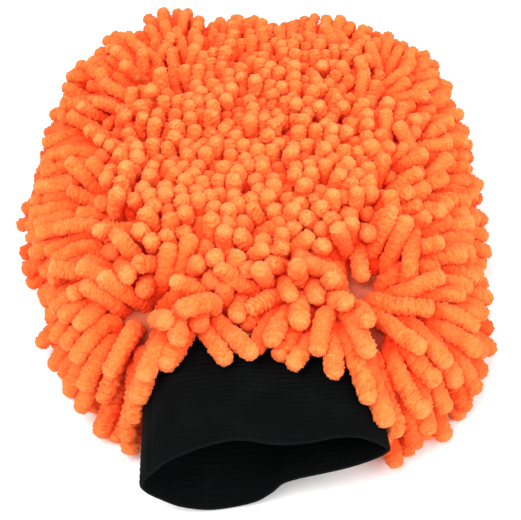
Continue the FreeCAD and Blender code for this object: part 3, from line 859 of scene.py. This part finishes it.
PANEL_WALL = 1.2 * MM
LINING_WALL = 0.6 * MM
LINING_ROOM = 10.3 * MM  # how far the lining's sewn edge lies inside the bag's outline
LINING_DROP = 1.9 * MM  # from the panel's inner face to the lining
LINING_TUCK = 0.3 * MM  # how far the lining's mouth runs into the cuff's wall
PANEL_STEPS, PANEL_RINGS = 220, 56
PANEL_CREASE, LINING_CREASE = 0.25 * MM, 0.5 * MM
CREASE_WAVES = 7
CREASE_LENGTH = 26 * MM
SEAM_MIDDLE = 5.3 * MM  # how far the middle of the seam allowance lies inside the outline
SEAM_WIDTH = 7.6 * MM
SEAM_THICKNESS = 2.4 * MM
SEAM_STEPS = 900
RUFFLE_PITCH = 15 * MM
SEAM_RUFFLE = 0.7 * MM


def distances(path):
    """How far along a line each of its points lies."""
    return np.concatenate([[0], np.cumsum(np.linalg.norm(np.diff(path, axis=0), axis=1))])


def even(path, count):
    """Points evenly spaced along a closed line through points."""
    path = np.array(list(path) + [path[0]])
    run = distances(path)
    places = np.linspace(0, run[-1], count, endpoint=False)
    return np.stack([np.interp(places, run, column) for column in path.T], 1)


def quarter_turn(middle, radius, start, way=1):
    """Points of a rounded corner from a start angle on, anticlockwise unless way is -1."""
    turns = start + way * np.linspace(0, math.pi / 2, 24)
    return [middle + radius * np.array([math.cos(turn), math.sin(turn)]) for turn in turns]


def outline_points(count, inset=0.0):
    """Points evenly spaced round the bag's outline or inside it, anticlockwise."""
    path = []
    for quarter, ways in enumerate(((1, 1), (-1, 1), (-1, -1), (1, -1))):
        middle = BAG_MIDDLE + (BAG_HALF - BAG_CORNER) * ways
        path += quarter_turn(middle, BAG_CORNER - inset, quarter * math.pi / 2)
    return even(path, count)


def panel(name, above, inset, lift, neck_room, wall, crease, overlap, rng):
    """One face of the bag or its lining: a shell from its middle out to its sewn edge.

    At that edge it reaches past the seam's level by overlap, so that the two faces close. A face
    that lies outside the cuff is kept out of it.
    """
    edge = outline_points(PANEL_STEPS, inset)
    shares = np.sin(np.linspace(0.02, 1, PANEL_RINGS) * math.pi / 2)
    plan = BAG_MIDDLE + (edge - BAG_MIDDLE)[None] * shares[:, None, None]
    grown = BAG_MIDDLE + (outline_points(PANEL_STEPS) - BAG_MIDDLE)[None] * shares[:, None, None]
    points = bag_surface(plan, above, lift, grown, neck_room)
    folds = np.zeros(plan.shape[:2])
    for _ in range(CREASE_WAVES):
        wave = rng.normal(0, 1, 2) * 2 * math.pi / CREASE_LENGTH
        folds += np.sin(plan @ wave + rng.uniform(0, 2 * math.pi)) / CREASE_WAVES
    points[..., 2] += crease * folds * (1 - shares[:, None] ** 4)
    points[-1, :, 2] -= overlap if above else -overlap
    faces = [tuple(range(PANEL_STEPS))]
    for low in range(0, (PANEL_RINGS - 1) * PANEL_STEPS, PANEL_STEPS):
        high = low + PANEL_STEPS
        for step in range(PANEL_STEPS):
            after = (step + 1) % PANEL_STEPS
            faces.append((low + after, low + step, high + step, high + after))
    if not above:
        faces = [face[::-1] for face in faces]
    points = as_it_lies(points)
    if neck_room > 0:
        points = clear_of_cuff(points, neck_room)
    made = mesh_object(name, points.reshape(-1, 3).tolist(), faces)
    solid = made.modifiers.new("wall", "SOLIDIFY")
    solid.thickness = wall
    solid.offset = -1
    return made


RIBBON_SIDES = 20


def ribbon(name, centre, across, up, width, thickness, ruffle, closed=False):
    """A doubled strip of cloth along a line, thin, rounded in section and wavy at its free edge."""
    turn = np.linspace(0, 2 * math.pi, RIBBON_SIDES, endpoint=False)
    wide = np.sign(np.cos(turn)) * np.abs(np.cos(turn)) ** 0.4 * width / 2
    high = np.sign(np.sin(turn)) * np.abs(np.sin(turn)) ** 0.5 * thickness / 2
    run = distances(centre)
    waves = round(run[-1] / RUFFLE_PITCH) * 2 * math.pi / run[-1]
    free = np.clip(wide / width * 2, 0, 1) ** 2
    high = high[None] + ruffle * np.sin(run * waves)[:, None] * free[None]
    vertices = centre[:, None] + across[:, None] * wide[None, :, None] + up[:, None] * high[..., None]
    return tube_mesh(name, vertices[None], closed)


def in_box(points, name):
    low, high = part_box(name)
    room = np.array([MM, MM, 1.0])
    return np.all((points > np.array(low) - room) & (points < np.array(high) + room), axis=1)


def make_seams(cloth, sewing):
    """The folded-in edges of the two faces, sewn together between backing and lining."""
    line = outline_points(SEAM_STEPS, SEAM_MIDDLE)
    points = raised(line, SEAM_LEVEL)
    inward = raised(-outline_inset(line)[1], 0.0)
    for place in ("left_side", "right_side", "fingertip"):
        chosen = np.nonzero(in_box(points, f"{place}_seam"))[0]
        gap = int(np.argmax(np.diff(chosen, append=chosen[0] + len(points))))
        chosen = np.roll(chosen, -gap - 1)
        line = clear_of_cuff(as_it_lies(points[chosen]), SEAM_THICKNESS)
        up = np.tile([0.0, 0.0, 1.0], (len(chosen), 1))
        made = ribbon(f"{place}_seam_allowance", line, inward[chosen], up,
                      SEAM_WIDTH, SEAM_THICKNESS * 0.9, SEAM_RUFFLE)
        place_piece(made, cloth, "mesh_backing", f"{place}_seam")
        made = tube_mesh(f"{place}_seam_thread", stitches(line + up * SEAM_THICKNESS / 2, up))
        place_piece(made, sewing, "orange_thread", f"{place}_seam_stitches")


def make_bag():
    rng = np.random.default_rng(SEED + 1)
    cloth = knitted_mesh()
    inside = woven("black_lining", (0.006, 0.006, 0.007), (0.02, 0.02, 0.022), 0.5 * MM, 0.6, 0.25)
    for face, above in FACES:
        made = panel(f"{face}_mesh_backing", above, 0.0, 0.0, NECK_ROOM, PANEL_WALL,
                     PANEL_CREASE, 0, rng)
        place_piece(made, cloth, "mesh_backing", f"{face}_panel")
        lift = PANEL_WALL + LINING_DROP
        within = -CUFF_WALL + LINING_TUCK
        made = panel(f"{face}_lining_cloth", above, LINING_ROOM, lift, within, LINING_WALL,
                     LINING_CREASE, LINING_WALL, rng)
        place_piece(made, inside, "lining_cloth", f"{face}_lining")
    make_seams(cloth, thread("orange_thread", (0.45, 0.06, 0.015), (0.8, 0.2, 0.05)))


# Cuff -------------------------------------------

# The free edge, seen from the mouth: (x, z) in millimetres, clockwise from the left end.
RIM = [
    (-48, 29), (-44, 37), (-37, 44), (-28, 49.5), (-19, 53), (-10, 54.5), (-2, 52.5), (6, 48),
    (14, 46), (23, 45.5), (32, 46.8), (41, 45.5), (49, 40.5), (55, 34.5), (56.5, 31), (53, 27.2),
    (47, 24), (38, 21), (28, 19.2), (18, 17.5), (11.5, 15), (7, 9), (1, 4), (-8, 1.8),
    (-20, 1.8), (-32, 7), (-40.5, 15), (-46, 22),
]
RIM_SKEW = 0.16  # how much nearer the mouth's left end is than its right end
CUFF_SIDES = 220
RIB_PITCH = 2.6 * MM
RIB_HEIGHT = 0.45 * MM
THREAD_COUNT = 20
THREAD_START = 3.5 * MM  # from the free edge to the first rubber thread
THREAD_RADIUS = 0.42 * MM
JOIN_SIDE = 9.5  # where the band's ends are joined, counted in steps round it from its left end
JOIN_WIDTH = 9 * MM
JOIN_THICKNESS = 1.3 * MM
JOIN_RUN = (0.16, 0.985)  # from near the sewn edge to just short of the free edge
JOIN_ROWS = (-3.2 * MM, 3.2 * MM)  # the rows of stitches, off the middle of the flap
TURNING_THICKNESS = 1.4 * MM
EDGE_WAVE = 0.5 * MM  # waviness of the cuff's free turned edges
STITCH_LENGTH = 2.8 * MM
STITCH_PITCH = 4 * MM
STITCH_RADIUS = 0.3 * MM


def closed_curve(points, count):
    """Evenly spaced points on a smooth closed curve through points."""
    points = np.array(points, float)
    dense = []
    for index in range(len(points)):
        near = [points[(index + k - 1) % len(points)] for k in range(4)]
        dense += [curve_point(*near, t) for t in np.linspace(0, 1, 12, endpoint=False)]
    return even(dense, count)


def root_oval():
    """The cuff's sewn edge: (x, z), clockwise from the left end."""
    path = []
    for quarter, side in enumerate((-1, 1, 1, -1)):
        middle = np.array([side * (ROOT_HALF - ROOT_RADIUS), ROOT_LEVEL])
        path += quarter_turn(middle, ROOT_RADIUS, math.pi - quarter * math.pi / 2, way=-1)
    return path


def cuff_shape(shares):
    """Points of the cuff's outer face, (station, side, xyz), from its sewn edge to its rim."""
    root = even(root_oval(), CUFF_SIDES)
    rim = closed_curve(RIM, CUFF_SIDES) * MM
    rim_y = CUFF_RIM + 2 * MM + RIM_SKEW * rim[:, 0]
    shares = np.asarray(shares)[:, None]
    ease = shares**1.35
    x = root[None, :, 0] * (1 - ease) + rim[None, :, 0] * ease
    z = root[None, :, 1] * (1 - ease) + rim[None, :, 1] * ease
    y = CUFF_ROOT * (1 - shares) + rim_y[None] * shares
    return np.stack([x, y, z], -1)


def cuff_frames(shares):
    """The cuff's outer points with the ways round it, down it and out of it."""
    outer = cuff_shape(shares)
    around = unit(np.roll(outer, -1, 1) - np.roll(outer, 1, 1))
    down = unit(np.gradient(outer, axis=0))
    out = unit(np.cross(around, down))
    if out[:, 0, 0].mean() > 0:
        out = -out
    return outer, around, down, out


def make_band(cloth):
    """The ribbed elastic, outside and inside, with a rounded selvedge and the join's groove."""
    shares = np.linspace(0, 1, int(CUFF_LENGTH / RIB_PITCH * 7))
    outer, _, _, out = cuff_frames(shares)
    from_rim = (1 - shares) * CUFF_LENGTH
    rib = np.abs(np.sin((from_rim - THREAD_START + RIB_PITCH / 2) * math.pi / RIB_PITCH)) ** 0.7
    edge = np.clip(1 - from_rim / (0.8 * MM), 0, 1)
    relief = np.where(edge > 0, 0.45, rib)[:, None] * RIB_HEIGHT
    steps = np.arange(CUFF_SIDES)
    groove = np.exp(-((steps - JOIN_SIDE) / 0.9) ** 2)
    groove = groove - 0.35 * np.exp(-((steps - JOIN_SIDE) / 3.5) ** 2)
    skin = outer + out * (relief - groove[None] * 0.7 * MM)[..., None]
    inner = outer - out * (CUFF_WALL - 0.5 * relief)[..., None]
    lip = (skin[-1] + inner[-1]) / 2 + unit(skin[-1] - skin[-3]) * 0.5 * MM
    loop = np.concatenate([skin, lip[None], inner[::-1]])
    made = tube_mesh("cuff_ribbed_band", loop[None], closed=True)
    selvedge = np.concatenate([edge, [1], edge[::-1]])
    float_attribute(made, "selvedge", np.repeat(selvedge, CUFF_SIDES))
    place_piece(made, cloth, "cuff_elastic", "cuff_band")


def thread_rings(shares, depth):
    """Closed round threads that lie under the cuff's outer face."""
    outer, _, down, out = cuff_frames(shares)
    turn = np.linspace(0, 2 * math.pi, 8, endpoint=False)[None, None, :, None]
    centre = (outer - out * depth)[:, :, None]
    ring = out[:, :, None] * np.cos(turn) + down[:, :, None] * np.sin(turn)
    return centre + THREAD_RADIUS * ring


def stitches(line, up):
    """Short arched stitches along a line of evenly spaced points."""
    run = distances(line)
    starts = np.arange(STITCH_PITCH / 2, run[-1] - STITCH_LENGTH, STITCH_PITCH)
    shares = np.linspace(0, 1, 7)
    places = starts[:, None] + shares[None] * STITCH_LENGTH
    path, rise = (
        np.stack([np.interp(places, run, column) for column in values.T], -1) for values in (line, up)
    )
    path = path + unit(rise) * (np.sin(shares * math.pi) * STITCH_RADIUS * 1.4)[None, :, None]
    radius = STITCH_RADIUS * np.sin(np.linspace(0.25, math.pi - 0.25, 7)) ** 0.4
    radius = np.broadcast_to(radius[None, :, None], (len(path), 7, 8))
    return tube_rings(path, radius, rise[:, 0], 8)


def make_cuff():
    cloth = elastic()
    sewing = thread("black_thread", (0.008, 0.008, 0.009), (0.035, 0.035, 0.037))
    make_band(cloth)
    cords = 1 - (THREAD_START + RIB_PITCH * np.arange(THREAD_COUNT)[::-1]) / CUFF_LENGTH
    made = tube_mesh("cuff_elastic_threads", thread_rings(cords, 0.55 * MM), closed=True)
    place_piece(made, rubber(), "elastic_rubber", "cuff_rubber_threads")

    outer, around, _, out = cuff_frames(np.linspace(*JOIN_RUN, 60))
    side = int(JOIN_SIDE)
    around, inward = around[:, side], -out[:, side]
    line = outer[:, side] + inward * (CUFF_WALL + 1.0 * MM)
    made = ribbon("cuff_join_flap", line, around, inward, JOIN_WIDTH, JOIN_THICKNESS, EDGE_WAVE)
    place_piece(made, cloth, "cuff_elastic", "cuff_join_allowance")
    top = line + inward * 0.75 * MM
    rows = [stitches(top + around * offset, inward) for offset in JOIN_ROWS]
    made = tube_mesh("cuff_join_overlock", np.concatenate(rows))
    place_piece(made, sewing, "black_thread", "cuff_join_stitches")

    seam_low, seam_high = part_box("cuff_seam_allowance")
    middle = (CUFF_ROOT - (seam_low.y + seam_high.y) / 2) / CUFF_LENGTH
    outer, _, down, out = (rows[1] for rows in cuff_frames([middle - 0.01, middle, middle + 0.01]))
    made = ribbon("cuff_seam_turning", outer - out * (CUFF_WALL + 1.1 * MM), down, -out,
                  seam_high.y - seam_low.y, TURNING_THICKNESS, EDGE_WAVE, closed=True)
    place_piece(made, cloth, "cuff_elastic", "cuff_seam_allowance")
    made = tube_mesh("cuff_seam_thread", stitches(outer + out * 0.35 * MM, out))
    place_piece(made, sewing, "black_thread", "cuff_seam_stitches")


# Studio -----------------------------------------


def make_studio():
    scene = bpy.context.scene
    scene.view_settings.view_transform = "Standard"
    corners = [(-3, -3, 0), (3, -3, 0), (3, 3, 0), (-3, 3, 0)]
    floor = mesh_object("studio_floor", corners, [(0, 1, 2, 3)])
    paper, _, shader = new_material("studio_floor", 0.9, 0.1)
    fill(shader, {"Base Color": (0.9, 0.9, 0.9, 1)})
    floor.data.materials.append(paper)
    world = bpy.data.worlds.new("studio")
    world.use_nodes = True
    fill(world.node_tree.nodes["Background"], {"Color": (1, 1, 1, 1), "Strength": 1.0})
    scene.world = world
    for name, place, power, size in (
        ("key", (-0.5, -0.5, 1.3), 17.5, 0.8),
        ("fill", (0.9, -0.7, 0.8), 10.5, 1.0),
    ):
        light = bpy.data.lights.new(name, "AREA")
        light.energy = power
        light.size = size
        lamp = bpy.data.objects.new(name, light)
        lamp.location = place
        aim = Vector((0, 0, 0.03)) - Vector(place)
        lamp.rotation_euler = aim.to_track_quat("-Z", "Y").to_euler()
        scene.collection.objects.link(lamp)


CAMERA_ELEVATION = math.radians(46.74)
CAMERA_TURN = math.radians(0.86)
CAMERA_DISTANCE = 0.5545
CAMERA_TARGET = Vector((0, -0.0232, 0.035))
SENSOR = 36.0
LENS = 77.8
SHIFT_Y = -0.039


def make_camera():
    data = bpy.data.cameras.new("camera")
    data.sensor_width = SENSOR
    data.lens = LENS
    data.shift_y = SHIFT_Y
    data.clip_start = 0.01
    camera = bpy.data.objects.new("camera", data)
    back = Vector((
        math.sin(CAMERA_TURN) * math.cos(CAMERA_ELEVATION),
        -math.cos(CAMERA_TURN) * math.cos(CAMERA_ELEVATION),
        math.sin(CAMERA_ELEVATION),
    ))
    camera.location = CAMERA_TARGET + back * CAMERA_DISTANCE
    camera.rotation_euler = (-back).to_track_quat("-Z", "Y").to_euler()
    bpy.context.scene.collection.objects.link(camera)
    bpy.context.scene.camera = camera


make_pile()
make_bag()
make_cuff()
make_studio()
make_camera()
